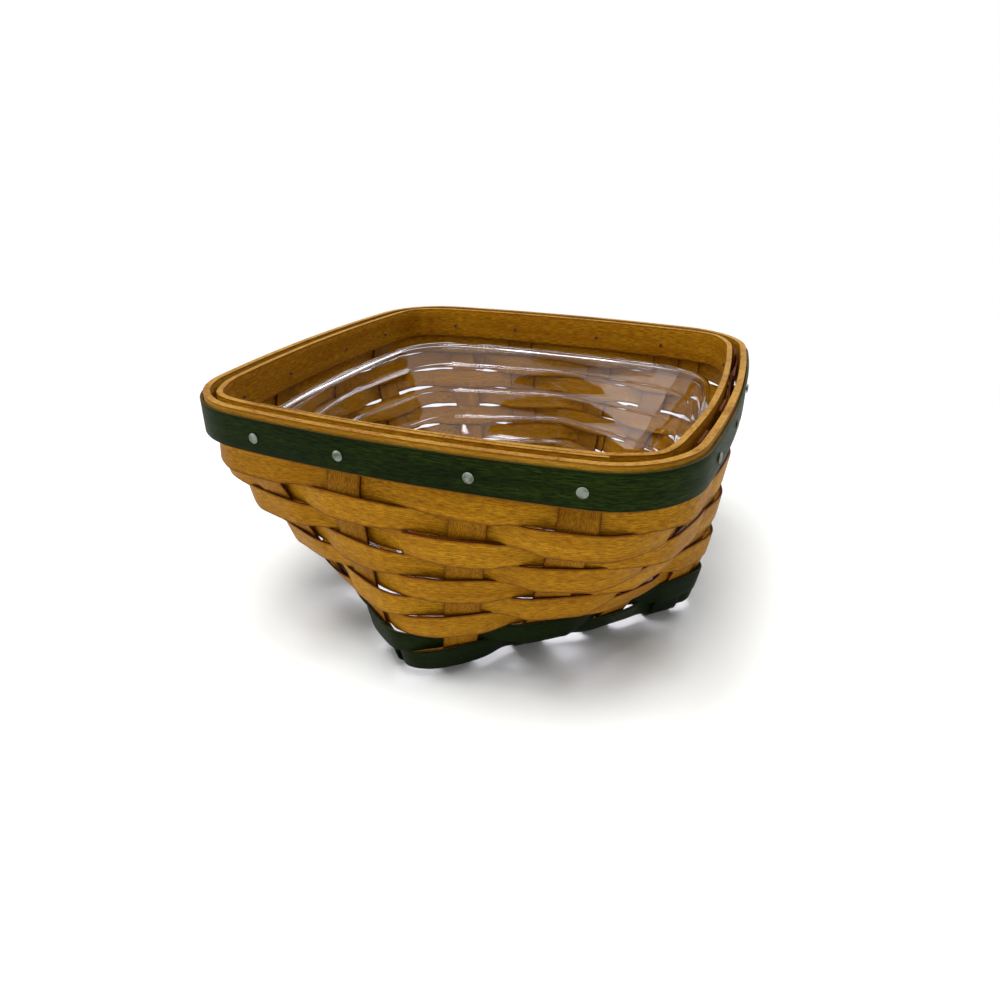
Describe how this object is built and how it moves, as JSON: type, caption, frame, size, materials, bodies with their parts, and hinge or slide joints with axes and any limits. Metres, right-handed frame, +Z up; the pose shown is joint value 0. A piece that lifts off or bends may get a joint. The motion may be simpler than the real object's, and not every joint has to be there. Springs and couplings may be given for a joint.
{
  "type": "square woven splint basket with liner",
  "caption": "Low square basket of flat wooden splints and weavers, its floor turned against the rim, with clamping bands, a tacked green trim strip and a clear lift-out liner.",
  "frame": {"origin": "centre of the rim on the table plane, under the middle of the object", "axes": "+Z up; the rim's sides face +X, -X, +Y and -Y, the side seen in front faces -Y"},
  "size_m": [0.1902, 0.1902, 0.0971],
  "materials": {
    "splint_wood": "honey-stained hardwood splint, satin",
    "weaver_wood": "honey-stained hardwood strip, satin",
    "band_wood": "honey-stained bent hardwood, satin, paler cut edges",
    "green_stain": "dark green stained strip, satin, grain showing",
    "dark_green_stain": "very dark green stained strip, satin",
    "tack_metal": "dull grey domed head",
    "clear_plastic": "clear, thin, glossy"
  },
  "bodies": {
    "basket": {"base_splint_a1": "splint_wood", "base_splint_a2": "splint_wood", "base_splint_a3": "splint_wood", "base_splint_a4": "splint_wood", "base_splint_b1": "splint_wood", "base_splint_b2": "splint_wood", "base_splint_b3": "splint_wood", "base_splint_b4": "splint_wood", "weaver_row_1": "weaver_wood", "weaver_row_2": "weaver_wood", "weaver_row_3": "weaver_wood", "weaver_row_4": "weaver_wood", "weaver_row_5": "weaver_wood", "weaver_row_6": "weaver_wood", "weaver_row_7": "weaver_wood", "weaver_row_8": "dark_green_stain", "weaver_row_9": "dark_green_stain", "weaver_row_rim": "weaver_wood", "outer_band": "band_wood", "trim_strip": "green_stain", "inner_band": "band_wood", "tack_01": "tack_metal", "tack_02": "tack_metal", "tack_03": "tack_metal", "tack_04": "tack_metal", "tack_05": "tack_metal", "tack_06": "tack_metal", "tack_07": "tack_metal", "tack_08": "tack_metal", "tack_09": "tack_metal", "tack_10": "tack_metal", "tack_11": "tack_metal", "tack_12": "tack_metal", "tack_13": "tack_metal", "tack_14": "tack_metal", "tack_15": "tack_metal", "tack_16": "tack_metal"},
    "liner": {"liner": "clear_plastic"}
  },
  "joints": [
    {"name": "liner_lift", "type": "slide", "parent": "basket", "child": "liner", "axis": [0, 0, 1], "range_m": [0, 0.12]}
  ]
}
